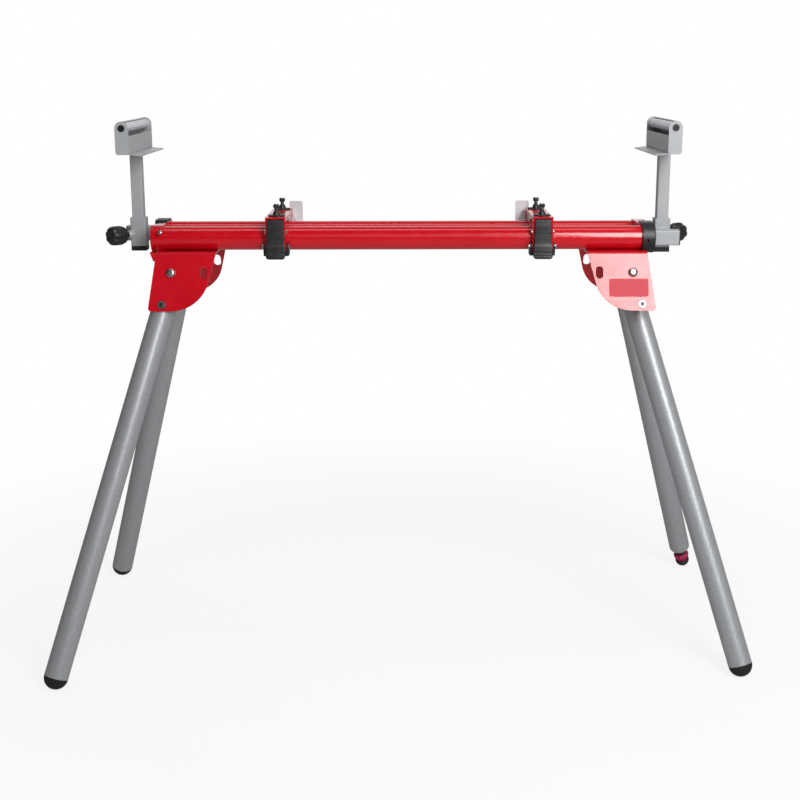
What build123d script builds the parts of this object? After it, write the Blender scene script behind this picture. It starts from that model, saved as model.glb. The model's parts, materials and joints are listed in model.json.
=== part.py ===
from build123d import *
import os
from math import acos, atan2, cos, degrees, hypot, radians, sin, sqrt, tan

# Folding stand for a mitre saw: two beam tubes on four folding legs, an extension arm with a
# roller head at each end, and two quick-release brackets for the saw on top of the beam.
# Millimetres. +X runs along the beam, +Y to the rear, +Z up; the origin is on the floor below
# the middle of the beam. Half a turn about Z maps each end of the stand onto the other.

# ---- fits and sheet ---------------------------------------------------------------------
running_fit = 0.05        # radial clearance of a pin or shaft in its bore
slide_gap = 0.3           # gap between faces that slide past each other
seat_gap = 0.05           # gap of a fixed piece in its seat
sheet = 3.0               # bracket sheet
thin_sheet = 2.5          # collar sheet

# ---- beam -------------------------------------------------------------------------------
beam_tube_d = 44.0
beam_tube_wall = 2.0
beam_spacing = 90.0       # between the two tube axes
beam_z = 792.0            # height of the tube axes
beam_end_x = 468.0        # both ends of each tube

# ---- legs -------------------------------------------------------------------------------
leg_d = 44.0
leg_wall = 1.8
leg_splay = 19.0          # tilt of the swing plane, degrees outward in Y
leg_lean = 15.2           # lean of the leg in its swing plane, degrees outward in X
pivot_x = 430.5
pivot_y = 68.0            # outer legs
pivot_z = 724.0           # outer legs
leg_gap = 1.4             # between the swing volumes of an outer and an inner leg
leg_top = 18.0            # tube above the pivot
bush_d = 20.0             # cross bush in the leg
bush_proud = 0.7
pivot_bolt_d = 12.0
bolt_head_d = 18.0
bolt_head_h = 6.5
nut_af = 19.0
nut_h = 10.0
spacer_d = 26.0

# ---- leg bracket ------------------------------------------------------------------------
cheek_gap = 1.0           # cheek to the outer leg
cheek_arc_r = 72.0        # about the pivot
cheek_top_in = 84.0       # top corner, towards the middle of the beam
cheek_top_out = 28.0      # top corner, towards the end
cheek_low_out = 42.0      # low corner, towards the end
cheek_corner_r = 6.0
saddle_t = 4.0
lock_edge = 10.0          # lock axis inside the arc of the cheek
lock_radius = cheek_arc_r - lock_edge    # pivot to lock button and to the stow slot
stow_slot_w = 14.0
stow_slot_h = 24.0
tab_w = 14.0              # weld tabs of the cheek in the saddle
tab_places = (-2.0, 56.0)

# ---- lock buttons -----------------------------------------------------------------------
button_d = 8.0
button_proud = 2.0
button_travel = 4.0
lock_ring_d = 13.5
lock_ring_t = 2.0
lock_barrel_d = 11.0
lock_hole_d = 10.0        # in the leg
inner_barrel = 30.0       # guide length of the bush where the leg is inset

# ---- feet -------------------------------------------------------------------------------
cap_stem = 25.0
pad_r = 15.0
screw_d = 12.0
ring_h = 16.5
ring_top_r = 17.0
ring_low_r = 13.5
ring_lobes = 9
neck_d = 22.0
neck_h = 12.0
foot_travel = 15.0
insert_depth = 26.0
tube_nose_r = 9.0         # rounding of the tube end that carries the insert

# ---- end collar and cap -----------------------------------------------------------------
collar_w = 22.0
collar_corner = 12.0      # width of the top flange at its outer end, behind the tube axis
collar_tip_y = 8.0        # tip of the top flange beside the other tube's cap
neck_drop = 14.0
neck_gap = 0.8            # to the end of the saddle plate
cap_wall = 6.5
cap_nose = 7.0            # cap beyond the tube end
cap_back = 35.0           # flat-topped part behind the tube axis

# ---- extension arm ----------------------------------------------------------------------
bar_side = 28.0
bar_wall = 2.0
bar_corner_r = 3.0
bar_len = 505.0
bar_end_x = 521.0
plug_flange = 2.0
plug_stem = 18.0
guide_len = 20.0
post_x = 494.0
left_pull = 12.0          # the left-hand arm stands this much further out
post_side = 22.0
post_wall = 1.5
sleeve_gap = 0.75
sleeve_wall = 3.0
sleeve_corner_r = 2.5
sleeve_h = 63.0
guide_h = 9.0             # plastic guide at the foot of the sleeve
sleeve_rise = 2.0         # sleeve centre above the bar axis
clamp_turn = 45.0         # the clamp stud points through the sleeve's outer corner
stud_d = 8.0
boss_d = 16.0
boss_len = 8.0
knob_d = 37.0
knob_len = 48.0
knob_neck_d = 14.0
knob_lobes = 7
knob_flute_r = 5.5

# ---- roller head ------------------------------------------------------------------------
head_w = 24.6
head_len = 232.0
head_y = -5.0             # middle of the right-hand roller
roller_z = 998.5
head_drop = 47.5          # roller axis to the underside of the head
head_low_z = roller_z - head_drop
roller_r = 9.0
roller_wall = 1.6
head_sheet = 2.0
panel_gap = 5.0           # inner panel below the roller
wall_curl = 72.0          # the outer wall curls over the roller through this angle
shelf_w = 22.0
shelf_drop = 2.5
axle_d = 8.0
axle_head_d = 12.6
axle_proud = 0.8
axle_socket = 2.0         # depth of the hexagon in each end
head_corner_r = 5.0

# ---- saw brackets -----------------------------------------------------------------------
bracket_left_x = -235.0
bracket_right_x = 263.0
bracket_outer_limit = 300.0    # centre of a bracket, furthest from the middle
bracket_inner_limit = 60.0     # centre of a bracket, nearest the middle
channel_w = 38.0
channel_front_y = -79.0
channel_rear_y = 95.0
channel_rise = 20.0            # web top above the tubes
tube_clear = 0.35              # channel and jaw round the tubes
hook_t = 6.0                   # rear hook below the rear tube
pin_d = 6.0
pin_head_d = 9.5
pin_head_h = 3.5
lever_pin_y = -73.0
lever_pin_z = 806.0
jaw_pin_y = -72.0
jaw_pin_z = 779.0
lever_open = 60.0
jaw_open = 20.0
lever_top_w = 31.4
lever_waist_w = 30.0
lever_flare_w = 37.0
lever_tip_w = 28.0
jaw_arm_t = 4.0
jaw_ear_r = 7.2
saw_bolt_d = 6.0
saw_bolt_front_y = -50.0
saw_bolt_rear_y = 74.0
saw_hole_d = 9.0
saw_hole_spacing = 50.0
saw_hole_y = 12.0
ear_r = 9.0                    # of the channel, round the jaw pin
flange_d = 32.0
flange_t = 2.5
stop_w = 26.0
stop_h = 46.0
stop_inboard = 12.0            # near edge of the stop, from the middle of the channel
stop_t = 3.0
stop_rise = 14.0
side_rivet_y = -30.0

# ---- derived places ---------------------------------------------------------------------
splay = radians(leg_splay)
lean = radians(leg_lean)
tube_r = beam_tube_d / 2
bore_r = tube_r - beam_tube_wall
tube_y = beam_spacing / 2
tube_low_z = beam_z - tube_r
tube_top_z = beam_z + tube_r
leg_r = leg_d / 2
leg_inner_r = leg_r - leg_wall
leg_shift = leg_d + leg_gap                      # from an outer leg to an inner one, along the bolt
saddle_top_z = tube_low_z
saddle_low_z = saddle_top_z - saddle_t
saddle_in_x = pivot_x - cheek_top_in
saddle_out_x = pivot_x + cheek_top_out
swing_normal = Vector(0, -cos(splay), sin(splay))    # outward, front legs
plane_up = Vector(0, sin(splay), cos(splay))         # upward in the front legs' swing plane
leg_up = Vector(sin(lean), cos(lean) * sin(splay), cos(lean) * cos(splay))
fold_angle = 90.0 + leg_lean
cheek_in = leg_r + cheek_gap                     # inner face of the cheek from the outer leg's axis
cheek_out = cheek_in + sheet
saddle_half = pivot_y + cheek_out / cos(splay) - (saddle_low_z - pivot_z) * tan(splay)
collar_out_x = beam_end_x + thin_sheet
collar_in_x = collar_out_x - collar_w
sleeve_side = post_side + 2 * sleeve_gap + 2 * sleeve_wall
arm_y = -tube_y + bar_side / 2 + sleeve_side / 2     # sleeve and post of the right-hand arm
sleeve_z = beam_z + sleeve_rise
post_low_z = sleeve_z - sleeve_h / 2 + 7
channel_top_z = tube_top_z + channel_rise
web_low_z = channel_top_z - sheet
stop_rivet_y = channel_rear_y - 9
stop_rivet_z = channel_top_z - 26
side_rivet_z = channel_top_z - 9


# ---- small helpers ----------------------------------------------------------------------
def block(x0, x1, y0, y1, z0, z1):
    """Box between two corners."""
    middle = Pos((x0 + x1) / 2, (y0 + y1) / 2, (z0 + z1) / 2)
    return middle * Box(x1 - x0, y1 - y0, z1 - z0)


def rod_x(radius, x0, x1, y=0.0, z=0.0):
    """Cylinder along X."""
    return Pos((x0 + x1) / 2, y, z) * Rot(0, 90, 0) * Cylinder(radius, x1 - x0)


def rod_y(radius, y0, y1, x=0.0, z=0.0):
    """Cylinder along Y."""
    return Pos(x, (y0 + y1) / 2, z) * Rot(90, 0, 0) * Cylinder(radius, y1 - y0)


def rod_z(radius, z0, z1, x=0.0, y=0.0):
    """Cylinder along Z."""
    return Pos(x, y, (z0 + z1) / 2) * Cylinder(radius, z1 - z0)


def along_x(sketch, x0, x1):
    """Prism along X from a sketch drawn in (Y, Z)."""
    return extrude(Plane.YZ.offset(x0) * sketch, amount=x1 - x0, dir=(1, 0, 0))


def along_y(sketch, y0, y1):
    """Prism along Y from a sketch drawn in (X, Z)."""
    return extrude(Plane.XZ.offset(-y0) * sketch, amount=y1 - y0, dir=(0, 1, 0))


def polygon(*points):
    """Flat polygon with its points where they are given."""
    return Polygon(*points, align=None)


def half_ball(radius, centre_z):
    """Lower half of a ball."""
    ball = Pos(0, 0, centre_z) * Sphere(radius)
    return ball - block(-radius, radius, -radius, radius, centre_z, centre_z + radius)


def turned_x(points):
    """Solid of revolution about X from a half profile in (X, radius)."""
    return revolve(polygon(*points), Axis.X)


def square_tube(side, wall, corner_r, length):
    """Square tube along Z, centred on its axis, from 0 up."""
    outer = RectangleRounded(side, side, corner_r)
    inner = RectangleRounded(side - 2 * wall, side - 2 * wall, max(corner_r - wall, 0.5))
    return extrude(outer - inner, amount=length)


def half_turn(shape):
    """The same piece at the other end of the stand."""
    return shape.rotate(Axis.Z, 180)


def at_corner(shape, right, rear):
    """A front left piece, mirrored to one of the four corners."""
    if right:
        shape = mirror(shape, about=Plane.YZ)
    if rear:
        shape = mirror(shape, about=Plane.XZ)
    return shape


def outer_pivot():
    """Axis of the front left leg, at its pivot bolt."""
    return Vector(-pivot_x, -pivot_y, pivot_z)


def pivot_point(inner):
    """Where a front left leg's axis meets its bolt; the inner one is shifted along the bolt."""
    return outer_pivot() - swing_normal * (leg_shift if inner else 0.0)


def leg_frame(inner):
    """Local Z runs up the leg from the pivot, local X out along the bolt."""
    return Plane(origin=pivot_point(inner), x_dir=swing_normal, z_dir=leg_up)


def cheek_frame():
    """Local X runs to +X and local Y up, in the inner face of the cheek; Z points out."""
    origin = outer_pivot() + swing_normal * cheek_in
    return Plane(origin=origin, x_dir=(1, 0, 0), z_dir=swing_normal)


def cheek_height(world_z):
    """Height in the cheek's plane of a level line on its inner face."""
    return (world_z - cheek_frame().origin.Z) / cos(splay)


def reach(centre_height, inner):
    """Distance down the leg from the pivot to a point of its axis at this height."""
    return (pivot_point(inner).Z - centre_height) / leg_up.Z


# ---- beam -------------------------------------------------------------------------------
def beam_tube(y):
    """One beam tube, open at both ends."""
    outer = rod_x(tube_r, -beam_end_x, beam_end_x, y, beam_z)
    return outer - rod_x(bore_r, -beam_end_x - 1, beam_end_x + 1, y, beam_z)


def end_collar():
    """Left end: closes the front tube and ties both tubes with a bulkhead."""
    seat_r = tube_r + seat_gap
    outer_r = seat_r + thin_sheet
    band = rod_x(outer_r, -collar_out_x, -collar_in_x, -tube_y, beam_z)
    flange = polygon((-collar_out_x, -tube_y), (-collar_in_x, -tube_y), (-collar_in_x, collar_tip_y),
                     (-collar_out_x, -tube_y + collar_corner))
    flange = extrude(Plane.XY.offset(beam_z + seat_r) * flange, amount=thin_sheet, dir=(0, 0, 1))
    bulkhead = block(-collar_in_x - thin_sheet, -collar_in_x, -tube_y, tube_y,
                     beam_z - tube_r, beam_z + outer_r)
    shell = band + flange + bulkhead
    for y in (-tube_y, tube_y):
        shell -= rod_x(seat_r, -beam_end_x, 0, y, beam_z)
    shell += rod_x(outer_r, -collar_out_x, -beam_end_x, -tube_y, beam_z)
    # The saddle plate ends below the collar.
    shell -= block(-saddle_out_x - seat_gap, 0, -200, 200, 0, saddle_top_z + seat_gap)
    slot = Plane.XZ.offset(tube_y + seat_r - 8) * Pos(-collar_in_x - 3, beam_z + 10)
    slot = slot * SlotOverall(11, 3, 90)
    return shell - extrude(slot, amount=20) + collar_neck()


def collar_neck():
    """Gusset from the collar down to the bracket: a triangular web and a sloping plate."""
    high = saddle_top_z - 1.0
    low = saddle_low_z - neck_drop
    near_x = -saddle_out_x - neck_gap
    foot_x = near_x - neck_drop / 3
    end_x = -collar_out_x
    front_y = -saddle_half + 1.0
    web = polygon((end_x, high), (near_x, high), (near_x, saddle_low_z), (foot_x, low))
    web = along_y(web, front_y, front_y + thin_sheet)
    slope = polygon((end_x, high), (end_x + thin_sheet, high), (foot_x, low + 5), (foot_x, low))
    return web + along_y(slope, front_y, -tube_y + 20)


def cap_profile():
    """Outline of the end cap in (Y, Z): round at the front, flat on top behind the axis."""
    radius = tube_r + cap_wall
    low_z = beam_z - radius
    high_z = beam_z + radius
    back = RectangleRounded(cap_back + radius, high_z - low_z, 7.0)
    back = Pos(-tube_y + (cap_back - radius) / 2, (low_z + high_z) / 2) * back
    front = Pos(-tube_y, beam_z) * Circle(radius)
    keep = Pos(-tube_y + 100, beam_z) * Rectangle(200, 200)
    return front + (back & keep)


def end_cap():
    """Right end of the front tube: outer shell, end wall and the guide inside the tube."""
    nose_x = beam_end_x + cap_nose
    near_x = collar_in_x + thin_sheet + seat_gap
    shell = along_x(cap_profile(), near_x, nose_x)
    outer_edges = shell.faces().sort_by(Axis.X)[-1].outer_wire().edges()
    shell = fillet(outer_edges, 2.0)
    shell -= rod_x(tube_r + seat_gap, 0, beam_end_x, -tube_y, beam_z)
    guide = rod_x(bore_r - seat_gap, beam_end_x - 26, beam_end_x + 1, -tube_y, beam_z)
    window = RectangleRounded(bar_side + 2 * slide_gap, bar_side + 2 * slide_gap, bar_corner_r)
    window = Pos(-tube_y, beam_z) * window
    part = (shell + guide) - along_x(window, 0, nose_x + 1)
    part -= block(0, saddle_out_x + seat_gap, -200, 200, 0, saddle_top_z + seat_gap)
    eye = rod_y(3.2, -tube_y - tube_r - 10, -tube_y - tube_r + 2, near_x + 9, beam_z - 3)
    return part - eye


# ---- leg bracket ------------------------------------------------------------------------
def cheek_outline(top):
    """Cheek in its own plane: straight top and end, quarter round about the pivot."""
    corner = hypot(cheek_top_in, top)
    touch = atan2(top, cheek_top_in) - acos(cheek_arc_r / corner)
    tangent = (cheek_arc_r * cos(touch), cheek_arc_r * sin(touch))
    halfway = (touch - radians(90)) / 2
    on_arc = (cheek_arc_r * cos(halfway), cheek_arc_r * sin(halfway))
    top_in = (cheek_top_in, top)
    top_out = (-cheek_top_out, top)
    bottom = (0, -cheek_arc_r)
    low_out = (-cheek_low_out, -cheek_arc_r)
    lines = [Line(top_out, top_in), Line(top_in, tangent), ThreePointArc(tangent, on_arc, bottom),
             Line(bottom, low_out), Line(low_out, top_out)]
    face = make_face(Curve() + lines)
    low_corner = face.vertices().sort_by_distance((-cheek_low_out, -cheek_arc_r, 0))[0]
    return fillet(low_corner, cheek_corner_r)


def cheek_tabs(grow):
    """Weld tabs that stand up from the cheek into the saddle."""
    low = cheek_height(saddle_low_z) - 3
    high = cheek_height(saddle_top_z) + 5
    tabs = [Pos(x, (low + high) / 2) * Rectangle(tab_w + 2 * grow, high - low) for x in tab_places]
    shape = Sketch() + tabs
    slab = extrude(cheek_frame().offset(-grow) * shape, amount=sheet + 2 * grow)
    return slab & block(-600, 0, -200, 0, saddle_low_z - 1, saddle_top_z)


def cheek(inner):
    """Front left cheek: pivot hole, lock hole and stow slot."""
    top = cheek_height(saddle_low_z) + 3
    face = cheek_outline(top)
    face -= Circle(pivot_bolt_d / 2 + seat_gap)
    lock = Pos(-lock_radius * sin(lean), -lock_radius * cos(lean))
    face -= lock * Circle(lock_barrel_d / 2 + seat_gap)
    face -= Pos(lock_radius, 0) * SlotOverall(stow_slot_h, stow_slot_w, 90)
    plate = extrude(cheek_frame() * face, amount=sheet)
    plate &= block(-600, 0, -200, 0, 0, saddle_low_z)
    return plate + cheek_tabs(0.0)


def saddle():
    """Left saddle plate under both tubes, as wide as the cheeks welded below it."""
    plate = block(-saddle_out_x, -saddle_in_x, -saddle_half, saddle_half, saddle_low_z, saddle_top_z)
    for tab in (cheek_tabs(seat_gap), mirror(cheek_tabs(seat_gap), about=Plane.XZ)):
        plate -= tab
    window = RectangleRounded(60, beam_spacing - 30, 8)
    middle = Pos(-(saddle_in_x + saddle_out_x) / 2, 0, saddle_low_z - 1)
    return plate - middle * extrude(window, amount=saddle_t + 2)


def bolt_start(inner):
    """Local X, in a leg's frame, of the cheek's outer face."""
    return cheek_out + (leg_shift if inner else 0.0)


def pivot_bolt(inner):
    """Domed bolt through cheek and leg, in the leg's frame."""
    radius = pivot_bolt_d / 2
    outside = bolt_start(inner)
    inside = -leg_r - bush_proud - slide_gap - nut_h - 1.5
    shaft = rod_x(radius, inside, outside + 1)
    head = rod_x(bolt_head_d / 2, outside, outside + bolt_head_h)
    head = fillet(head.edges().sort_by(Axis.X)[-1], bolt_head_h - 1)
    return leg_frame(inner).location * (shaft + head)


def pivot_nut(inner):
    """Hexagon nut on the inside of the leg."""
    low = -leg_r - bush_proud - slide_gap - nut_h
    across = RegularPolygon(nut_af / 2, 6, major_radius=False)
    nut = along_x(across, low, low + nut_h)
    return leg_frame(inner).location * (nut - rod_x(pivot_bolt_d / 2 + seat_gap, low - 1, 0))


def pivot_spacer():
    """Tube between the cheek and an inset leg."""
    low = leg_r + bush_proud + slide_gap
    high = cheek_in + leg_shift
    tube = rod_x(spacer_d / 2, low, high) - rod_x(pivot_bolt_d / 2 + seat_gap, low - 1, high + 1)
    return leg_frame(True).location * tube


def lock_axis(shape, inner):
    """Places a shape drawn along local X at the lock hole of a leg."""
    return leg_frame(inner).location * Pos(0, 0, -lock_radius) * shape


def lock_bush(inner):
    """Ring outside the cheek, barrel through it; longer where the leg is inset."""
    face = bolt_start(inner)
    low = face - sheet - (inner_barrel if inner else 0.0)
    ring = rod_x(lock_ring_d / 2, face, face + lock_ring_t)
    barrel = rod_x(lock_barrel_d / 2, low, face + 1)
    bore = rod_x(button_d / 2 + running_fit, low - 1, face + lock_ring_t + 1)
    return lock_axis(ring + barrel - bore, inner)


def lock_button(inner):
    """Button with its plunger, which stops short of the leg."""
    face = bolt_start(inner) + lock_ring_t + button_proud
    tip = leg_r + 0.6
    part = fillet(rod_x(button_d / 2, tip, face).edges().sort_by(Axis.X)[-1], 1.2)
    return lock_axis(part, inner)


# ---- legs and feet ----------------------------------------------------------------------
def leg_cross_bush():
    """Bush across the leg for the pivot bolt, in the leg's frame."""
    end = leg_r + bush_proud
    return rod_x(bush_d / 2, -end, end)


def leg_cuts():
    """Pivot bore and lock hole, in the leg's frame."""
    end = leg_r + bush_proud + 1
    bore = rod_x(pivot_bolt_d / 2 + running_fit, -end, end)
    hole = Pos(0, 0, -lock_radius) * rod_x(lock_hole_d / 2, leg_inner_r - 6, end)
    return bore + hole


def ball_leg(inner):
    """Leg tube that ends at its rubber cap."""
    low = -reach(leg_r, inner)
    tube = rod_z(leg_r, low, leg_top) - rod_z(leg_inner_r, low - 1, leg_top + 1)
    return leg_frame(inner).location * (tube + leg_cross_bush() - leg_cuts())


def foot_cap(inner):
    """Half-ball rubber cap with a stem inside the tube."""
    low = -reach(leg_r, inner)
    stem = rod_z(leg_inner_r - seat_gap, low - 1, low + cap_stem)
    return leg_frame(inner).location * (half_ball(leg_r, low) + stem)


def pad_low():
    """Local Z of the adjustable foot's ball centre."""
    return -reach(pad_r, False)


def nose_low():
    """Local Z of the end of the tube that carries the adjustable foot."""
    return pad_low() + 3 + ring_h + slide_gap + neck_h


def screw_leg():
    """Leg tube with a closed, rounded nose for the foot insert."""
    low = nose_low()
    solid = rod_z(leg_r, low, leg_top)
    solid = fillet(solid.edges().sort_by(Axis.Z)[0], tube_nose_r)
    tube = solid - rod_z(leg_inner_r, low + 12, leg_top + 1)
    tube -= rod_z(neck_d / 2 + seat_gap, low - 1, low + 13)
    return leg_frame(False).location * (tube + leg_cross_bush() - leg_cuts())


def foot_insert():
    """Threaded insert in the tube nose, with a neck below it."""
    low = nose_low()
    neck = rod_z(neck_d / 2, low - neck_h, low + 13)
    body = rod_z(leg_inner_r - seat_gap, low + 12 + seat_gap, low + 12 + insert_depth)
    bore = rod_z(screw_d / 2 + running_fit, low - neck_h - 1, low + 60)
    return leg_frame(False).location * (neck + body - bore)


def foot_screw():
    """Round pad on a screw."""
    centre = pad_low()
    pad = half_ball(pad_r, centre)
    rim = rod_z(pad_r, centre, centre + 3 - slide_gap)
    rim = fillet(rim.edges().sort_by(Axis.Z)[-1], 1.5)
    screw = rod_z(screw_d / 2, centre, nose_low() + insert_depth + 10)
    return leg_frame(False).location * (pad + rim + screw)


def foot_ring():
    """Lobed grip ring round the screw."""
    low = pad_low() + 3
    high = low + ring_h
    profile = polygon((0, low), (ring_low_r, low), (ring_top_r, high - 4), (ring_low_r, high), (0, high))
    body = revolve(Plane.XZ * profile, Axis.Z)
    for i in range(ring_lobes):
        turn = Rot(0, 0, 360 / ring_lobes * i)
        body -= turn * rod_z(2.2, low - 1, high + 1, x=ring_top_r + 1.2)
    bore = rod_z(screw_d / 2 + running_fit, low - 1, high + 1)
    return leg_frame(False).location * (body - bore)


# ---- extension arm, right end -----------------------------------------------------------
def arm_bar():
    """Square bar that slides in the front tube."""
    tube = square_tube(bar_side, bar_wall, bar_corner_r, bar_len)
    return Pos(bar_end_x - bar_len, -tube_y, beam_z) * Rot(0, 90, 0) * tube


def bar_plugs():
    """Flanged plug and round guide on the bar's ends, and the guide under the sleeve."""
    hole = bar_side - 2 * bar_wall - 2 * seat_gap
    stem = RectangleRounded(hole, hole, 1.0)
    stem = Pos(-tube_y, beam_z) * stem
    cover = Pos(-tube_y, beam_z) * RectangleRounded(bar_side, bar_side, bar_corner_r)
    outer = along_x(stem, bar_end_x - plug_stem, bar_end_x + 1)
    outer += along_x(cover, bar_end_x + seat_gap, bar_end_x + seat_gap + plug_flange)
    inner_x = bar_end_x - bar_len
    guide = rod_x(bore_r - slide_gap, inner_x - guide_len, inner_x - seat_gap, -tube_y, beam_z)
    guide += along_x(stem, inner_x - 1, inner_x + plug_stem)
    foot = square_tube(sleeve_side, sleeve_wall, sleeve_corner_r, guide_h - seat_gap)
    foot = Pos(post_x, arm_y, sleeve_z - sleeve_h / 2) * foot
    return Compound(children=[outer, guide, foot])


def sleeve():
    """Square sleeve beside the bar, with the clamp boss on its outer corner."""
    tube = square_tube(sleeve_side, sleeve_wall, sleeve_corner_r, sleeve_h - guide_h)
    tube = Pos(0, 0, guide_h - sleeve_h / 2) * tube
    corner = sleeve_side / sqrt(2)
    reach_x = corner + boss_len
    boss = turned_x([(0, 0), (0, boss_d / 2), (corner + 1, boss_d / 2), (reach_x, boss_d / 2 - 3),
                     (reach_x, 0)])
    boss = boss.rotate(Axis.Z, clamp_turn)
    hollow = sleeve_side / 2 - sleeve_wall
    boss -= block(-boss_d, hollow, -boss_d, hollow, -boss_d, boss_d)
    bore = rod_x(stud_d / 2 + running_fit, 0, reach_x + 1).rotate(Axis.Z, clamp_turn)
    return Pos(post_x, arm_y, sleeve_z) * (tube + boss - bore)


def clamp_knob():
    """Lobed knob on a stud that presses on the corner of the post."""
    start = sleeve_side / sqrt(2) + boss_len + slide_gap
    end = start + knob_len - boss_len
    grip = knob_d / 2
    body = turned_x([(start, 0), (start, knob_neck_d / 2), (start + 5, knob_neck_d / 2),
                     (start + 11, grip - 2), (start + 14, grip), (end - 8, grip),
                     (end - 2, grip - 5), (end, grip - 10), (end, 0)])
    for i in range(knob_lobes):
        flute = rod_x(knob_flute_r, start + 9, end + 1, z=grip + 2.8)
        body -= flute.rotate(Axis.X, 360 / knob_lobes * (i + 0.5))
    tip = post_side / sqrt(2)
    stud = rod_x(stud_d / 2, tip, start + 1)
    return Pos(post_x, arm_y, sleeve_z) * (body + stud).rotate(Axis.Z, clamp_turn)


def post():
    """Square post that carries the roller head."""
    tube = square_tube(post_side, post_wall, 2.0, head_low_z - post_low_z)
    return Pos(post_x, arm_y, post_low_z) * tube


def head_outline(shrink):
    """Section of the housing about the roller's axis, smaller by shrink on every side."""
    half = head_w / 2 - shrink
    drop = head_drop - shrink
    shape = Pos(0, -drop / 2) * Rectangle(2 * half, drop)
    shape = fillet(shape.vertices().group_by(Axis.Y)[0], head_corner_r - shrink)
    return shape + Circle(half)


def roller_head():
    """Bent housing: outer wall curled over the roller, inner panel and shelf, two end plates."""
    near = -head_w / 2
    low = -head_drop
    inside = head_sheet
    panel_top = -roller_r - panel_gap
    mouth = polygon((0, panel_top), (0, 0), (head_w / tan(radians(wall_curl)), head_w),
                    (-head_w, head_w), (-head_w, panel_top))
    shelf = polygon((near + inside, low), (near + inside, low + inside), (near, low + inside),
                    (near - shelf_w, low + inside - shelf_drop), (near - shelf_w, low - shelf_drop),
                    (near, low))
    bent = head_outline(0) - head_outline(inside) - mouth + shelf
    plate = head_outline(0) - Circle(axle_head_d / 2 + seat_gap)
    y0 = head_y - head_len / 2
    y1 = head_y + head_len / 2
    part = along_y(bent, y0 + 1, y1 - 1)
    for start in (y0, y1 - inside):
        part += along_y(plate, start, start + inside)
    return Pos(post_x, 0, roller_z) * part


def roller():
    """Hollow roller with end walls that run on the axle."""
    half = head_len / 2 - head_sheet - slide_gap
    body = rod_y(roller_r, -half, half)
    body = fillet(body.edges().filter_by(GeomType.CIRCLE), 0.8)
    body -= rod_y(roller_r - roller_wall, -half + 6, half - 6)
    body -= rod_y(axle_d / 2 + running_fit, -half - 1, half + 1)
    return Pos(post_x, head_y, roller_z) * body


def roller_axle():
    """Rod with a shoulder in each end plate."""
    half = head_len / 2
    face = half + axle_proud
    shoulder = axle_head_d / 2
    part = rod_y(axle_d / 2, -half, half)
    part += rod_y(shoulder, -face, -half + head_sheet) + rod_y(shoulder, half - head_sheet, face)
    for y in (-face, face - axle_socket):
        part -= along_y(RegularPolygon(axle_d / 2 - 1, 6), y, y + axle_socket)
    return Pos(post_x, head_y, roller_z) * part


# ---- saw bracket, with its inboard side towards +X --------------------------------------
def channel_side():
    """Side plate in (Y, Z): rides on both tubes, with a front ear and a rear hook."""
    shoulder_z = beam_z + 9
    front_y = channel_front_y
    rear_y = channel_rear_y
    top = Pos((front_y + rear_y) / 2, (channel_top_z + shoulder_z) / 2)
    top = top * Rectangle(rear_y - front_y, channel_top_z - shoulder_z)
    ear = Pos(jaw_pin_y, jaw_pin_z) * Circle(ear_r)
    ear += polygon((front_y, shoulder_z), (jaw_pin_y - ear_r, jaw_pin_z),
                   (jaw_pin_y + ear_r, jaw_pin_z), (-tube_y - 10, shoulder_z))
    hook_low = tube_low_z - tube_clear - hook_t
    hook = polygon((tube_y + 5, shoulder_z), (tube_y + 5, hook_low), (rear_y - 16, hook_low),
                   (rear_y, hook_low + 16), (rear_y, shoulder_z))
    side = top + ear + hook
    for y in (-tube_y, tube_y):
        side -= Pos(y, beam_z) * Circle(tube_r + tube_clear)
    oval = Pos(rear_y - 27, channel_top_z - 14) * SlotOverall(15, 9)
    return side - oval


def channel():
    """Inverted channel across the beam, with holes for the saw bolts and the saw's own feet."""
    half = channel_w / 2
    side = channel_side()
    part = along_x(side, -half, -half + sheet) + along_x(side, half - sheet, half)
    part += block(-half, half, channel_front_y, channel_rear_y, web_low_z, channel_top_z)
    for y in (saw_bolt_front_y, saw_bolt_rear_y):
        part -= rod_z(saw_bolt_d / 2 + running_fit, web_low_z - 1, channel_top_z + 1, y=y)
    for y in (saw_hole_y - saw_hole_spacing / 2, saw_hole_y + saw_hole_spacing / 2):
        part -= rod_z(saw_hole_d / 2, web_low_z - 1, channel_top_z + 1, y=y)
    for y, z in ((lever_pin_y, lever_pin_z), (jaw_pin_y, jaw_pin_z)):
        part -= rod_x(pin_d / 2 + seat_gap, -half - 1, half + 1, y, z)
    for y, z in ((stop_rivet_y, stop_rivet_z), (side_rivet_y, side_rivet_z)):
        part -= rod_x(pin_d / 2 + seat_gap, 0, half + 1, y, z)
    return part


def upright_stop():
    """Grey upright plate at the rear, riveted to the inboard side of the channel."""
    side_x = channel_w / 2 + seat_gap
    back_y = channel_rear_y + 1
    top = channel_top_z + stop_rise
    plate = block(stop_inboard, stop_inboard + stop_w, back_y, back_y + stop_t, top - stop_h, top)
    plate = fillet(plate.edges().filter_by(Axis.Y).group_by(Axis.Z)[-1], 3.0)
    flange = block(side_x, side_x + stop_t, back_y - 18, back_y + 1, top - stop_h, channel_top_z - 2)
    hole = rod_x(pin_d / 2 + seat_gap, 0, side_x + stop_t + 1, stop_rivet_y, stop_rivet_z)
    return plate + flange - hole


def headed_pin(half_span, y, z):
    """Pin across the channel with a domed head at each end."""
    pin = rod_x(pin_d / 2, -half_span - 1, half_span + 1, y, z)
    for sign in (-1, 1):
        head = turned_x([(half_span, 0), (half_span, pin_head_d / 2),
                         (half_span + pin_head_h / 2, pin_head_d / 2),
                         (half_span + pin_head_h, pin_head_d / 4), (half_span + pin_head_h, 0)])
        head = head if sign > 0 else mirror(head, about=Plane.YZ)
        pin += Pos(0, y, z) * head
    return pin


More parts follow.
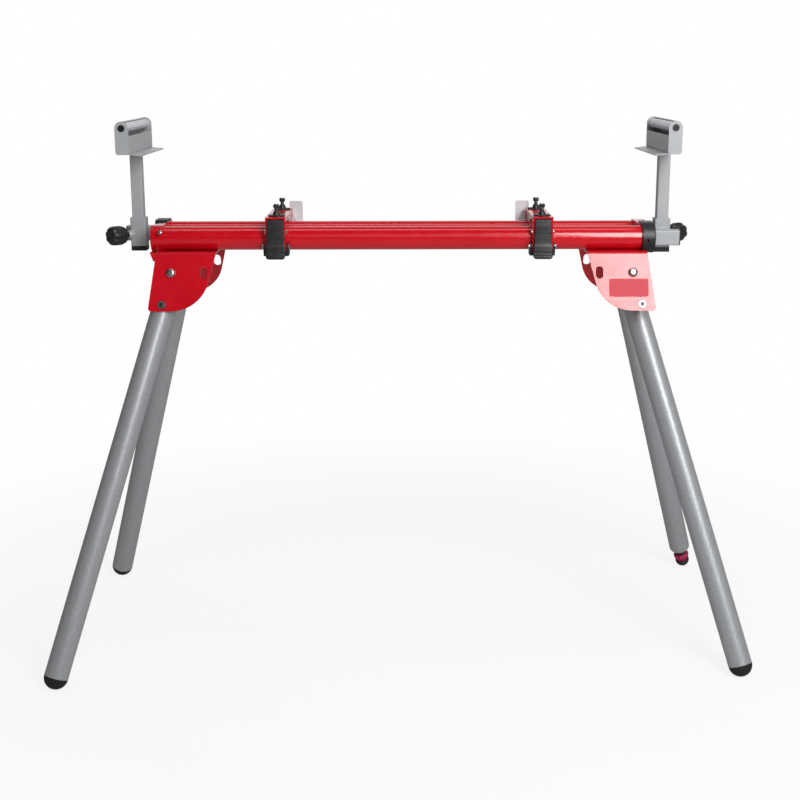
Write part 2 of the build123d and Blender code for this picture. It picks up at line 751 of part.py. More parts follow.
def rivet(face, y, z):
    """Short rivet through the inboard side plate, with a flat head at each end."""
    back = channel_w / 2 - sheet - seat_gap
    shank = rod_x(pin_d / 2, back - 1, face + 1)
    heads = rod_x(pin_head_d / 2, face, face + 2.5) + rod_x(pin_head_d / 2, back - 2.5, back)
    return Pos(0, y, z) * (shank + heads)


def bracket_pins():
    """Lever pin, jaw pin, the rivet of the upright stop and one in the side plate."""
    half = channel_w / 2
    lever_pin = headed_pin(half + seat_gap, lever_pin_y, lever_pin_z)
    jaw_pin = headed_pin(half + slide_gap + jaw_arm_t + slide_gap, jaw_pin_y, jaw_pin_z)
    stop_rivet = rivet(half + 2 * seat_gap + stop_t, stop_rivet_y, stop_rivet_z)
    side_rivet = rivet(half + seat_gap, side_rivet_y, side_rivet_z)
    return Compound(children=[lever_pin, jaw_pin, stop_rivet, side_rivet])


def lever():
    """Quick-release lever in front of the beam: side profile cut to a waisted front outline."""
    top = web_low_z - 2
    y = lever_pin_y
    z = lever_pin_z
    profile = polygon((y - 4, top), (y - 6.5, top - 4), (y - 7.5, z - 2), (y - 8, z - 12),
                      (y - 13, z - 26), (y - 14, z - 38), (y - 19, z - 44), (y - 19, z - 47),
                      (y - 15, z - 49), (y - 10, z - 47), (y - 9.5, z - 20), (y - 4, z - 9),
                      (y + 4.5, z - 5), (y + 5, z + 3), (y + 1, z + 8), (y - 1, top))
    body = along_x(profile, -lever_flare_w / 2, lever_flare_w / 2)
    widths = ((top + 1, lever_top_w), (z - 4, lever_top_w), (z - 13, lever_waist_w),
              (z - 22, lever_waist_w), (z - 33, lever_flare_w), (z - 41, lever_flare_w),
              (z - 50, lever_tip_w))
    right = [(w / 2, h) for h, w in widths]
    left = [(-w / 2, h) for h, w in reversed(widths)]
    body &= along_y(polygon(*right, *left), y - 30, y + 30)
    return body - rod_x(pin_d / 2 + running_fit, -30, 30, y, z)


def jaw():
    """Clamp jaw: two arms outside the channel, joined below the front tube."""
    inner = channel_w / 2 + slide_gap
    outer = inner + jaw_arm_t
    under = tube_low_z - tube_clear
    floor_z = under - 8
    arm = Pos(jaw_pin_y, jaw_pin_z) * Circle(jaw_ear_r)
    arm += polygon((jaw_pin_y - jaw_ear_r, jaw_pin_z), (jaw_pin_y - 3, floor_z),
                   (-tube_y + 2, floor_z), (-tube_y + 4, under - 2), (jaw_pin_y + jaw_ear_r, jaw_pin_z))
    arm -= Pos(-tube_y, beam_z) * Circle(tube_r + 2 * tube_clear)
    body = along_x(arm, -outer, outer)
    low_ear = jaw_pin_z - ear_r - slide_gap
    body -= block(-inner, inner, -120, 0, low_ear, beam_z)
    return body - rod_x(pin_d / 2 + running_fit, -outer - 1, outer + 1, jaw_pin_y, jaw_pin_z)


def saw_bolt(y):
    """Screw with a T head that clamps the saw's foot to the channel."""
    base = channel_top_z + slide_gap
    high = base + flange_t
    disc = rod_z(flange_d / 2, base, high)
    cone = revolve(Plane.XZ * polygon((0, high - 1), (8, high - 1), (8, high), (4.6, high + 7),
                                      (2.6, high + 10), (2.6, high + 14), (0, high + 14)), Axis.Z)
    wing = Pos(0, 0, high + 16) * Box(12, 5.5, 8)
    wing = fillet(wing.edges().filter_by(Axis.Y), 2.4)
    stem = rod_z(saw_bolt_d / 2, web_low_z - 12, base + 1)
    return Pos(0, y, 0) * (disc + cone + wing + stem)


# ---- writing ----------------------------------------------------------------------------
def corners():
    """Name, right, rear and inner for the four legs."""
    yield "front_left", False, False, False
    yield "rear_left", False, True, True
    yield "front_right", True, False, True
    yield "rear_right", True, True, False


def frame_nodes():
    """Everything that stays put when the stand stands."""
    nodes = {"tube_front": beam_tube(-tube_y), "tube_rear": beam_tube(tube_y)}
    nodes["collar_left"] = end_collar()
    nodes["collar_right"] = half_turn(end_collar())
    nodes["end_cap_right"] = end_cap()
    nodes["end_cap_left"] = half_turn(end_cap())
    nodes["saddle_left"] = saddle()
    nodes["saddle_right"] = half_turn(saddle())
    bolts, nuts, spacers, bushes = [], [], [], []
    for name, right, rear, inner in corners():
        nodes["cheek_" + name] = at_corner(cheek(inner), right, rear)
        bolts.append(at_corner(pivot_bolt(inner), right, rear))
        nuts.append(at_corner(pivot_nut(inner), right, rear))
        bushes.append(at_corner(lock_bush(inner), right, rear))
        if inner:
            spacers.append(at_corner(pivot_spacer(), right, rear))
    nodes["pivot_bolts"] = Compound(children=bolts)
    nodes["pivot_nuts"] = Compound(children=nuts)
    nodes["pivot_spacers"] = Compound(children=spacers)
    nodes["lock_bushes"] = Compound(children=bushes)
    return nodes


def leg_nodes():
    """Legs, feet and lock buttons."""
    nodes = {}
    for name, right, rear, inner in corners():
        adjustable = name == "rear_right"
        tube = screw_leg() if adjustable else ball_leg(inner)
        nodes["leg_" + name] = at_corner(tube, right, rear)
        nodes["lock_button_" + name] = at_corner(lock_button(inner), right, rear)
        if not adjustable:
            nodes["foot_cap_" + name] = at_corner(foot_cap(inner), right, rear)
    for name, shape in (("foot_insert", foot_insert()), ("foot_screw", foot_screw()),
                        ("foot_ring", foot_ring())):
        nodes[name] = at_corner(shape, True, True)
    return nodes


def arm_nodes():
    """The two extension arms."""
    right = {"arm_bar": arm_bar(), "bar_plugs": bar_plugs(), "post_sleeve": sleeve(),
             "clamp_knob": clamp_knob(), "post": post(), "roller_head": roller_head(),
             "roller": roller(), "roller_axle": roller_axle()}
    nodes = {}
    for name, shape in right.items():
        nodes[name + "_right"] = shape
        nodes[name + "_left"] = Pos(-left_pull, 0, 0) * half_turn(shape)
    return nodes


def bracket_nodes():
    """The two saw brackets, handed so that each stop is on the inboard side."""
    pieces = {"bracket_channel": channel(), "bracket_lever": lever(), "bracket_jaw": jaw(),
              "bracket_pins": bracket_pins(), "upright_stop": upright_stop(),
              "saw_bolt_front": saw_bolt(saw_bolt_front_y), "saw_bolt_rear": saw_bolt(saw_bolt_rear_y)}
    nodes = {}
    for name, shape in pieces.items():
        nodes[name + "_left"] = Pos(bracket_left_x, 0, 0) * shape
        nodes[name + "_right"] = Pos(bracket_right_x, 0, 0) * mirror(shape, about=Plane.YZ)
    return nodes


def main():
    os.makedirs("parts", exist_ok=True)
    for group in (frame_nodes(), leg_nodes(), arm_nodes(), bracket_nodes()):
        for name, shape in group.items():
            export_step(shape, f"parts/{name}.step")


if __name__ == "__main__":
    main()
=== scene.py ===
# %% [markdown]
# # A folding stand for a mitre saw
# The solids of the stand come packed, at their real size, and stand on the floor at the origin.
# This lesson dresses them: it gives every piece its finish, adds the small shaped pieces that a
# solid model leaves plain, and then sets up the floor, the lights and the camera.
# All lengths are in metres, and what is written in millimetres is multiplied by MM. +X runs along
# the beam, +Y to the rear and +Z up.

# %% Load the stand
import bpy
import bmesh
import json
from math import copysign, cos, pi, sin
from mathutils import Matrix, Vector


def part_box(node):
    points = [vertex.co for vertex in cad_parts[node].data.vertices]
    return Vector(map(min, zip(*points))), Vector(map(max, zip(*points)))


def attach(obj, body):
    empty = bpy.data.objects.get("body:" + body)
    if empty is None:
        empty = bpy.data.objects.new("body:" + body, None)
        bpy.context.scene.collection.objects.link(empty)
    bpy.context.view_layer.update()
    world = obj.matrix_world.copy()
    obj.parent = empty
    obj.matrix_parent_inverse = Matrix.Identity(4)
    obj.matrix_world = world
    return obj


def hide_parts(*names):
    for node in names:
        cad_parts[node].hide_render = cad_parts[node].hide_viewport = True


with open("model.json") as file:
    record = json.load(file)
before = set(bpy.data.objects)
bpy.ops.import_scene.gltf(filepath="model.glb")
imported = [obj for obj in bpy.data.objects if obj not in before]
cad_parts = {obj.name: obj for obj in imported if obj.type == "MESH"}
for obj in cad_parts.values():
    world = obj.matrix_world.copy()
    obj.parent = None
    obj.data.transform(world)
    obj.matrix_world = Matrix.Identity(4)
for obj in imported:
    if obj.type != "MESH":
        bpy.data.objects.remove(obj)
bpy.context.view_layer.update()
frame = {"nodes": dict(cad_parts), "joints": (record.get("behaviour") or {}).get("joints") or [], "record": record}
nodes = frame["nodes"]

# %% [markdown]
# Every finish is a small network of shader nodes. The same few moves come back each time: make a
# node, set its sockets, join it to the next one. Two helpers keep that short. Coordinates are the
# object's own, in metres, so a speckle of one millimetre is one millimetre on every piece and
# stays in place when the piece moves.

# %% Helpers for finishes
def new_finish(name, colour, roughness, metallic=0.0, coat=0.0, coat_roughness=0.05):
    """A material with its Principled shader, and the object's own coordinates."""
    material = bpy.data.materials.new(name)
    material.use_nodes = True
    tree = material.node_tree
    shader = tree.nodes["Principled BSDF"]
    shader.inputs["Base Color"].default_value = (*colour, 1.0)
    shader.inputs["Roughness"].default_value = roughness
    shader.inputs["Metallic"].default_value = metallic
    shader.inputs["Coat Weight"].default_value = coat
    shader.inputs["Coat Roughness"].default_value = coat_roughness
    place = tree.nodes.new("ShaderNodeTexCoord")
    return material, tree, shader, place.outputs["Object"]


def noise(tree, place, scale, detail=3.0, stretch=(1.0, 1.0, 1.0)):
    """A noise pattern; scale counts waves per metre."""
    mapping = tree.nodes.new("ShaderNodeMapping")
    mapping.inputs["Scale"].default_value = stretch
    texture = tree.nodes.new("ShaderNodeTexNoise")
    texture.inputs["Scale"].default_value = scale
    texture.inputs["Detail"].default_value = detail
    tree.links.new(place, mapping.inputs["Vector"])
    tree.links.new(mapping.outputs["Vector"], texture.inputs["Vector"])
    return texture.outputs["Fac"]


def spread(tree, value, low, high, start=0.35, end=0.65):
    """Maps a pattern onto the range low to high."""
    node = tree.nodes.new("ShaderNodeMapRange")
    node.inputs["From Min"].default_value = start
    node.inputs["From Max"].default_value = end
    node.inputs["To Min"].default_value = low
    node.inputs["To Max"].default_value = high
    tree.links.new(value, node.inputs["Value"])
    return node.outputs["Result"]


def blend_colours(tree, value, first, second, start=0.35, end=0.65):
    """Runs from one colour to another along a pattern."""
    ramp = tree.nodes.new("ShaderNodeValToRGB")
    ramp.color_ramp.elements[0].position = start
    ramp.color_ramp.elements[0].color = (*first, 1.0)
    ramp.color_ramp.elements[1].position = end
    ramp.color_ramp.elements[1].color = (*second, 1.0)
    tree.links.new(value, ramp.inputs["Fac"])
    return ramp.outputs["Color"]


def raise_surface(tree, shader, height, depth, strength=1.0):
    """Small relief, depth in metres."""
    bump = tree.nodes.new("ShaderNodeBump")
    bump.inputs["Distance"].default_value = depth
    bump.inputs["Strength"].default_value = strength
    tree.links.new(height, bump.inputs["Height"])
    tree.links.new(bump.outputs["Normal"], shader.inputs["Normal"])
    return bump


print("helpers ready")

# %% [markdown]
# The beam and the leg brackets are powder coated in a deep gloss red. Powder melts into a skin
# that is glossy but not flat: it has a fine orange peel, about two millimetres from hill to hill.
# A clear coat over the colour gives the sharp highlight, and the colour drifts very slightly.

# %% Red powder coat
red_paint, tree, shader, place = new_finish("red powder coat", (0.61, 0.003, 0.012), 0.24, coat=0.4)
drift = noise(tree, place, 9.0)
tree.links.new(blend_colours(tree, drift, (0.58, 0.002, 0.010), (0.64, 0.004, 0.014)),
               shader.inputs["Base Color"])
tree.links.new(spread(tree, noise(tree, place, 60.0), 0.16, 0.24), shader.inputs["Roughness"])
raise_surface(tree, shader, noise(tree, place, 420.0, 2.0), 0.00005, 0.5)
print(red_paint.name)

# %% [markdown]
# The arms, the posts and the roller heads have a light grey stove enamel. It is duller than the
# red and hides its steel completely, so it is a plain dielectric with a faint mottle.

# %% Grey enamel
grey_paint, tree, shader, place = new_finish("grey enamel", (0.40, 0.42, 0.43), 0.38, coat=0.15)
mottle = noise(tree, place, 420.0, 2.0)
tree.links.new(blend_colours(tree, mottle, (0.40, 0.41, 0.42), (0.43, 0.44, 0.45)),
               shader.inputs["Base Color"])
tree.links.new(spread(tree, mottle, 0.36, 0.42), shader.inputs["Roughness"])
raise_surface(tree, shader, noise(tree, place, 700.0, 2.0), 0.00002, 0.4)

pale_paint, tree, shader, place = new_finish("pale enamel", (0.74, 0.74, 0.75), 0.32, coat=0.3)
tree.links.new(blend_colours(tree, noise(tree, place, 300.0), (0.72, 0.72, 0.73), (0.76, 0.76, 0.77)),
               shader.inputs["Base Color"])
print(grey_paint.name, "and", pale_paint.name)

# %% [markdown]
# The legs have a silver hammer finish: metal flakes in a grey lacquer, with fine dark and light
# grains that show from close by. Two layers of noise give the grains, and part of the shader is
# metallic so that the tubes shade like metal.

# %% Silver grain of the legs
leg_paint, tree, shader, place = new_finish("silver grain", (0.30, 0.31, 0.32), 0.42, metallic=0.35)
grain = noise(tree, place, 900.0, 2.0)
tree.links.new(blend_colours(tree, grain, (0.30, 0.31, 0.32), (0.50, 0.51, 0.52), 0.36, 0.64),
               shader.inputs["Base Color"])
tree.links.new(spread(tree, noise(tree, place, 300.0), 0.34, 0.52), shader.inputs["Roughness"])
raise_surface(tree, shader, grain, 0.00006, 0.5)
print(leg_paint.name)

# %% [markdown]
# Bolts, rivets and bushes are zinc plated steel, and the rollers are drawn aluminium. Both are
# true metals. Turning leaves fine lines on zinc, and drawing leaves them along the roller.

# %% Plated steel and aluminium
zinc_steel, tree, shader, place = new_finish("zinc plated steel", (0.60, 0.60, 0.58), 0.30, metallic=1.0)
tree.links.new(spread(tree, noise(tree, place, 700.0), 0.22, 0.40), shader.inputs["Roughness"])
raise_surface(tree, shader, noise(tree, place, 1500.0, 1.0), 0.00003, 0.5)

bright_steel, tree, shader, place = new_finish("drawn aluminium", (0.66, 0.67, 0.70), 0.40, metallic=0.3)
lines = noise(tree, place, 900.0, 2.0, stretch=(1.0, 0.02, 1.0))
tree.links.new(spread(tree, lines, 0.36, 0.46), shader.inputs["Roughness"])
raise_surface(tree, shader, lines, 0.000006, 0.3)

black_steel, tree, shader, place = new_finish("blackened steel", (0.035, 0.035, 0.037), 0.34, metallic=0.5)
tree.links.new(spread(tree, noise(tree, place, 900.0), 0.28, 0.42), shader.inputs["Roughness"])
print(zinc_steel.name, bright_steel.name, black_steel.name)

# %% [markdown]
# The caps, knobs and levers are moulded nylon with a spark-eroded grain. The foot caps are softer
# and duller, and scuffed paler where they meet the floor. The grip ring of the foot is the one
# coloured moulding.

# %% Moulded plastics and rubber
black_plastic, tree, shader, place = new_finish("moulded nylon", (0.018, 0.018, 0.020), 0.42)
grain = noise(tree, place, 1600.0, 2.0)
tree.links.new(blend_colours(tree, noise(tree, place, 120.0), (0.014, 0.014, 0.016), (0.024, 0.025, 0.028)),
               shader.inputs["Base Color"])
tree.links.new(spread(tree, grain, 0.36, 0.50), shader.inputs["Roughness"])
raise_surface(tree, shader, grain, 0.00005, 0.6)

foot_rubber, tree, shader, place = new_finish("foot rubber", (0.012, 0.012, 0.013), 0.55)
height = tree.nodes.new("ShaderNodeSeparateXYZ")
tree.links.new(place, height.inputs["Vector"])
scuff = tree.nodes.new("ShaderNodeMath")
scuff.operation = "MULTIPLY_ADD"
scuff.inputs[1].default_value = 0.006
tree.links.new(noise(tree, place, 260.0), scuff.inputs[0])
tree.links.new(height.outputs["Z"], scuff.inputs[2])
scuff_colour = blend_colours(tree, scuff.outputs["Value"], (0.05, 0.05, 0.05),
                             (0.011, 0.011, 0.012), 0.003, 0.009)
tree.links.new(scuff_colour, shader.inputs["Base Color"])
raise_surface(tree, shader, noise(tree, place, 900.0), 0.00006, 0.6)

red_plastic, tree, shader, place = new_finish("grip ring plastic", (0.42, 0.006, 0.07), 0.40)
tree.links.new(blend_colours(tree, noise(tree, place, 200.0), (0.38, 0.004, 0.06), (0.46, 0.010, 0.09)),
               shader.inputs["Base Color"])
raise_surface(tree, shader, noise(tree, place, 1400.0), 0.00004, 0.5)
print(black_plastic.name, foot_rubber.name, red_plastic.name)

# %% [markdown]
# The record names a material slot for each solid, so one table dresses them all.

# %% Dress the solids
finishes = {
    "red_paint": red_paint,
    "grey_paint": grey_paint,
    "leg_paint": leg_paint,
    "zinc_steel": zinc_steel,
    "bright_steel": bright_steel,
    "black_plastic": black_plastic,
    "foot_rubber": foot_rubber,
    "red_plastic": red_plastic,
}
own_finish = {"roller_axle": black_steel, "upright_stop": pale_paint,
              "lock_button_front": black_steel, "lock_button_rear": black_steel}
for subpart in frame["record"]["subparts"]:
    kind = subpart["node"].rpartition("_")[0]
    for slot in nodes[subpart["node"]].material_slots:
        slot.material = own_finish.get(kind, finishes[subpart["material_slot"]])

# %% [markdown]
# A moulded piece has no sharp edge anywhere, which is hard to show on a solid cut from planes. So
# the levers, the knobs, the wing screws and the grip ring are built here as skins. A skin is a row
# of rings joined by faces: the rings are worked out from sizes of the solid that each skin stands
# for, so it fills the same place and moves with the same body.

# %% Skins from rings
def skin(name, rings, finish, closed=True):
    """Joins rings of equal count into one smooth surface, with its ends capped where closed."""
    mesh = bmesh.new()
    rows = [[mesh.verts.new(point) for point in ring] for ring in rings]
    count = len(rows[0])
    for low, high in zip(rows, rows[1:]):
        for i in range(count):
            j = (i + 1) % count
            mesh.faces.new((low[i], low[j], high[j], high[i]))
    if closed:
        mesh.faces.new(tuple(reversed(rows[0])))
        mesh.faces.new(tuple(rows[-1]))
    bmesh.ops.recalc_face_normals(mesh, faces=mesh.faces)
    data = bpy.data.meshes.new(name)
    mesh.to_mesh(data)
    mesh.free()
    for polygon in data.polygons:
        polygon.use_smooth = True
    data.set_sharp_from_angle(angle=0.7)
    data.materials.append(finish)
    piece = bpy.data.objects.new(name, data)
    bpy.context.scene.collection.objects.link(piece)
    return piece


def round_bar(half_width, front, back, corner, z, middle, steps=6):
    """A ring in a level plane: a rectangle with round corners, seen from above."""
    corner = min(corner, half_width * 0.9, (back - front) * 0.45)
    ring = []
    centres = ((half_width - corner, back - corner, 0), (corner - half_width, back - corner, 1),
               (corner - half_width, front + corner, 2), (half_width - corner, front + corner, 3))
    for x, y, quarter in centres:
        for i in range(steps + 1):
            angle = (quarter + i / steps) * pi / 2
            ring.append(Vector((middle + x + corner * cos(angle), y + corner * sin(angle), z)))
    return ring


def between(table, at):
    """Reads a table of (place, value, value ...) rows, with a smooth run between rows."""
    for first, second in zip(table, table[1:]):
        if first[0] >= at >= second[0]:
            share = (first[0] - at) / (first[0] - second[0])
            share = share * share * (3 - 2 * share)
            return [a + (b - a) * share for a, b in zip(first[1:], second[1:])]
    return list(table[-1][1:] if at < table[-1][0] else table[0][1:])


print("skins can be made")

# %% [markdown]
# Knobs, screws and hubs are turned about the line of their joint, which the record holds. Lobes
# are drawn by letting the radius swell and sink round each ring.

# %% Lines to turn about
def joint_line(name):
    """A point on a joint's axis and the axis itself."""
    joint = next(j for j in frame["joints"] if j["name"] == name)
    return Vector(joint["pos_m"]), Vector(joint["axis"]).normalized()


def turned_rings(centre, axis, profile, count, lobes=0, dip=None):
    """Rings of (distance along the axis, radius, share of the lobes) about an axis."""
    across = axis.orthogonal().normalized()
    other = axis.cross(across)
    rings = []
    for along, radius, share in profile:
        ring = []
        for i in range(count):
            angle = 2 * pi * i / count
            r = radius
            if lobes:
                r -= share * dip(0.5 - 0.5 * cos(lobes * angle))
            ring.append(centre + axis * along + across * (r * cos(angle)) + other * (r * sin(angle)))
        rings.append(ring)
    return rings


print("the left knob turns about", tuple(round(v, 3) for v in joint_line("knob_turn_left")[1]))

# %% [markdown]
# The quick-release lever is the black moulding in front of the beam. From above down it bulges
# over its pin, draws in to a waist, flares again and ends in a lip that a finger gets under.

# %% Levers
MM = 0.001
# In millimetres.
lever_top = 0.6
ring_step = 1.1
ring_count = 67


def lever_skin(side):
    """Moulded lever, from rings stacked down its length."""
    low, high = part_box("bracket_lever_" + side)
    middle = (low.x + high.x) / 2
    back = high.y
    # Height below the top, then front, back (both from the rear face) and half width.
    shape = [(0.6, 13.0, 11.5, 15.2), (-2, 15.0, 11.4, 15.7), (-14, 16.0, 11.4, 15.7),
             (-26.5, 16.4, 11.4, 15.7), (-30, 16.6, 11.4, 17.2), (-36, 17.0, 11.4, 16.5),
             (-42, 17.4, 13.8, 16.6),
             (-51, 19.4, 14.2, 17.8), (-58, 20.0, 14.3, 18.5), (-62, 20.2, 14.4, 18.5),
             (-68, 23.9, 14.6, 17.9), (-70.5, 23.9, 15.0, 16.4), (-72, 21.5, 16.5, 14.0)]
    rings = []
    for step in range(ring_count):
        drop = lever_top - ring_step * step
        front, rear, half = between(shape, drop)
        rings.append(round_bar(half * MM, back - front * MM, back - rear * MM, 2.2 * MM,
                               high.z + drop * MM, middle))
    face = skin("lever_moulding_" + side, rings, black_plastic)
    pin_place, pin_axis = joint_line("lever_open_" + side)
    # Distance from the middle of the pin and radius.
    hub_profile = [(-15.4, 3.4), (-15.4, 5.8), (-14.9, 6.3), (14.9, 6.3), (15.4, 5.8), (15.4, 3.4)]
    hub_profile = [(along * MM, radius * MM, 0) for along, radius in hub_profile]
    hub = skin("lever_hub_" + side, turned_rings(pin_place, pin_axis, hub_profile, 32),
               black_plastic)
    for piece in (face, hub):
        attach(piece, "lever_" + side)
        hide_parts("bracket_lever_" + side)
    return face


for side in ("left", "right"):
    print(lever_skin(side).name)

# %% [markdown]
# A brace ties the two sides of each bracket channel behind the front saw bolt, just clear of the
# lever when it swings up.

# %% Channel braces
lever_reach = 29.0 * MM
brace_thickness = 2.5 * MM


def channel_brace(side):
    """Red plate across a channel, from its web down to the tube."""
    low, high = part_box("bracket_channel_" + side)
    middle = (low.x + high.x) / 2
    front = joint_line("lever_open_" + side)[0].y + lever_reach
    rings = []
    # Height below the top of the channel and half width.
    for drop, half in ((-2.9, 16.0), (-3.2, 16.2), (-17.0, 16.2), (-18.0, 15.2)):
        rings.append(round_bar(half * MM, front, front + brace_thickness, 0.4 * MM,
                               high.z + drop * MM, middle, steps=2))
    plate = skin("channel_brace_" + side, rings, red_paint)
    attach(plate, "bracket_" + side)
    return plate


for side in ("left", "right"):
    print(channel_brace(side).name)

# %% [markdown]
# The clamp knob has seven soft lobes. Its ring is a circle whose radius swells and sinks seven
# times round, and the profile along its axis rounds the rim off.

# %% Clamp knobs
knob_lobes = 7
lobe_depth = 2.3 * MM


def knob_skin(side):
    """Lobed knob about its stud."""
    centre, outward = joint_line("knob_turn_" + side)
    # Distance from the middle of the sleeve, radius and depth of the lobes.
    profile = [(27.2, 4.0, 0), (27.5, 6.9, 0), (30.6, 7.0, 0), (32.4, 8.2, 0.2), (34.6, 12.0, 0.8),
               (37.0, 15.8, 1.0), (39.7, 17.5, 1.0), (43.5, 18.2, 1.0), (54.1, 18.3, 1.0),
               (60.5, 18.0, 1.0), (64.4, 17.0, 0.9), (67.0, 15.0, 0.7), (68.4, 12.0, 0.4),
               (68.9, 8.5, 0.1), (67.9, 6.5, 0), (67.7, 0.4, 0)]
    profile = [(along * MM, radius * MM, share) for along, radius, share in profile]
    rings = turned_rings(centre, outward, profile, 112, knob_lobes,
                         lambda wave: lobe_depth * wave ** 3)
    piece = skin("clamp_knob_moulding_" + side, rings, black_plastic)
    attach(piece, "clamp_knob_" + side)
    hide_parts("clamp_knob_" + side)
    return piece


for side in ("left", "right"):
    print(knob_skin(side).name)

# %% [markdown]
# The grip ring of the adjustable foot widens upwards and has fine upright ribs, so that wet or
# gloved fingers can turn it. It stands along the leg, so its rings are drawn about the leg's line.

# %% Grip ring
foot_place, foot_down = joint_line("foot_screw_out")
foot_up = -foot_down


def along_leg(z):
    """Distance along the leg's line at which it has this height."""
    return (z - foot_place.z) / foot_up.z


ring_start = along_leg(15.0 * MM) + 3.0 * MM
# Height over the start of the ring, radius and depth of the ribs.
ring_profile = [(0.0, 6.2, 0), (0.0, 11.8, 0), (0.8, 12.9, 0.6), (2.0, 13.6, 1), (6.0, 15.0, 1),
                (10.5, 16.4, 1), (12.5, 16.9, 1), (14.0, 16.4, 0.8), (15.6, 14.2, 0.2),
                (16.4, 12.8, 0), (16.4, 6.2, 0)]
ring_profile = [(height * MM + ring_start, radius * MM, share)
                for height, radius, share in ring_profile]
ribs = 27
rib_depth = 1.2 * MM
grip_ring = skin("grip_ring_moulding",
                 turned_rings(foot_place, foot_up, ring_profile, 8 * ribs, ribs,
                              lambda wave: rib_depth * wave),
                 red_plastic)
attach(grip_ring, "adjustable_foot")
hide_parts("foot_ring")
print(grip_ring.name, "at", tuple(round(v, 3) for v in foot_place))

# %% [markdown]
# The saw bolts have a wing head: two round ears with a notch between them, on a thin neck that
# widens into a cone and a flat flange. The round parts are turned, as on a lathe, and the ears are
# a flat outline with a rounded rim.

# %% Wing screws
# The outline of the ears, in millimetres.
half_span = 5.6
half_rise = 4.1
notch_reach = 2.4
notch_depth = 1.3


def wing_screw(name):
    """A saw bolt: turned stem, flange, cone and neck, and the ears on top."""
    low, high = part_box(name)
    x = (low.x + high.x) / 2
    y = (low.y + high.y) / 2
    top = high.z
    centre = Vector((x, y, top))
    up = Vector((0, 0, 1))
    # Height below the top and radius.
    turned = [(-37.8, 2.6), (-37.4, 3.0), (-22.9, 3.0), (-22.8, 15.4), (-22.3, 15.9), (-21.0, 15.9),
              (-20.6, 15.4), (-20.2, 7.2), (-19.4, 6.9), (-16.5, 6.2), (-13.6, 4.4), (-12.4, 3.4),
              (-7.0, 3.3), (-5.6, 2.4)]
    turned = [(height * MM, radius * MM, 0) for height, radius in turned]
    body = skin(name + "_turning", turned_rings(centre, up, turned, 48), black_plastic)
    outline = []
    for i in range(56):
        angle = 2 * pi * i / 56
        wide = copysign(half_span * abs(cos(angle)) ** 0.55, cos(angle))
        tall = copysign(half_rise * abs(sin(angle)) ** 0.55, sin(angle))
        notch = max(0.0, 1.0 - abs(wide) / notch_reach)
        tall -= notch_depth * notch if tall > 0 else 0.0
        outline.append((wide, tall - half_rise))
    rings = []
    # Distance from the middle of the ears and the outline's size there.
    for depth, shrink in ((-3.2, 0.82), (-2.8, 0.94), (-1.8, 1.0), (1.8, 1.0), (2.8, 0.94),
                          (3.2, 0.82)):
        rings.append([Vector((x + wide * shrink * MM, y + depth * MM,
                              top + ((tall + half_rise) * shrink - half_rise) * MM))
                      for wide, tall in outline])
    ears = skin(name + "_ears", rings, black_plastic)
    for piece in (body, ears):
        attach(piece, name)
        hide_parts(name)
    return body


for side in ("left", "right"):
    for end in ("front", "rear"):
        print(wing_screw("saw_bolt_%s_%s" % (end, side)).name)

# %% [markdown]
# Where two steel parts meet, the real stand has a weld: a low bead with a scale for every dip of
# the rod. A bead is a thin skin along a line whose radius ripples.

# %% Weld beads
def weld_bead(name, start, end, radius, body, finish):
    """Rippled bead from start to end."""
    start = Vector(start)
    end = Vector(end)
    run = (end - start).length
    axis = (end - start).normalized()
    steps = max(12, round(run / (0.55 * MM)))
    profile = []
    for i in range(steps + 1):
        at = run * i / steps
        taper = min(1.0, (at + 0.2 * radius) / radius, (run - at + 0.2 * radius) / radius)
        ripple = 1.0 + 0.10 * sin(2 * pi * at / (2.4 * MM)) + 0.04 * sin(2 * pi * at / (7.7 * MM))
        profile.append((at, radius * ripple * max(taper, 0.2) ** 0.5, 0))
    bead = skin(name, turned_rings(start, axis, profile, 12), finish)
    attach(bead, body)
    return bead


bar_bead = 1.7 * MM
post_bead = 1.5 * MM
bead_margin = 3 * MM
for side, sign in (("right", 1), ("left", -1)):
    sleeve_low, sleeve_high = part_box("post_sleeve_" + side)
    bar_low, bar_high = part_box("arm_bar_" + side)
    post_low, post_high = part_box("post_" + side)
    seam_y = sleeve_low.y if side == "right" else sleeve_high.y
    near_x = post_low.x - 2.5 * MM if side == "right" else post_high.x + 2.5 * MM
    for name, z in (("over", bar_high.z), ("under", bar_low.z)):
        weld_bead("weld_%s_bar_%s" % (name, side), (near_x + sign * 3 * MM, seam_y, z),
                  (near_x + sign * 26 * MM, seam_y, z), bar_bead, "arm_" + side,
                  grey_paint)
    for name, y in (("front", post_low.y), ("rear", post_high.y)):
        weld_bead("weld_post_%s_%s" % (name, side), (post_low.x + bead_margin, y, post_high.z),
                  (post_high.x - bead_margin, y, post_high.z), post_bead, "post_" + side,
                  grey_paint)
print("beads on the arms and posts")

# %% Beads of the leg brackets
cheek_bead = 1.8 * MM
cheek_inset = 8 * MM
for side, sign in (("left", -1), ("right", 1)):
    plate_low, plate_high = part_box("saddle_" + side)
    for place, y in (("front", plate_low.y + 1.2 * MM), ("rear", plate_high.y - 1.2 * MM)):
        inner_x = sign * (min(abs(plate_low.x), abs(plate_high.x)) + cheek_inset)
        outer_x = sign * (max(abs(plate_low.x), abs(plate_high.x)) - cheek_inset)
        inward = 3.4 * MM if place == "front" else -3.4 * MM
        weld_bead("weld_cheek_%s_%s" % (place, side), (inner_x, y + inward, plate_low.z),
                  (outer_x, y + inward, plate_low.z), cheek_bead, "frame", red_paint)
print("beads on the brackets")

# %% [markdown]
# The front bracket on the right carries a plain label. It is a thin matt film, so it stays red
# where the gloss round it mirrors the soft box.

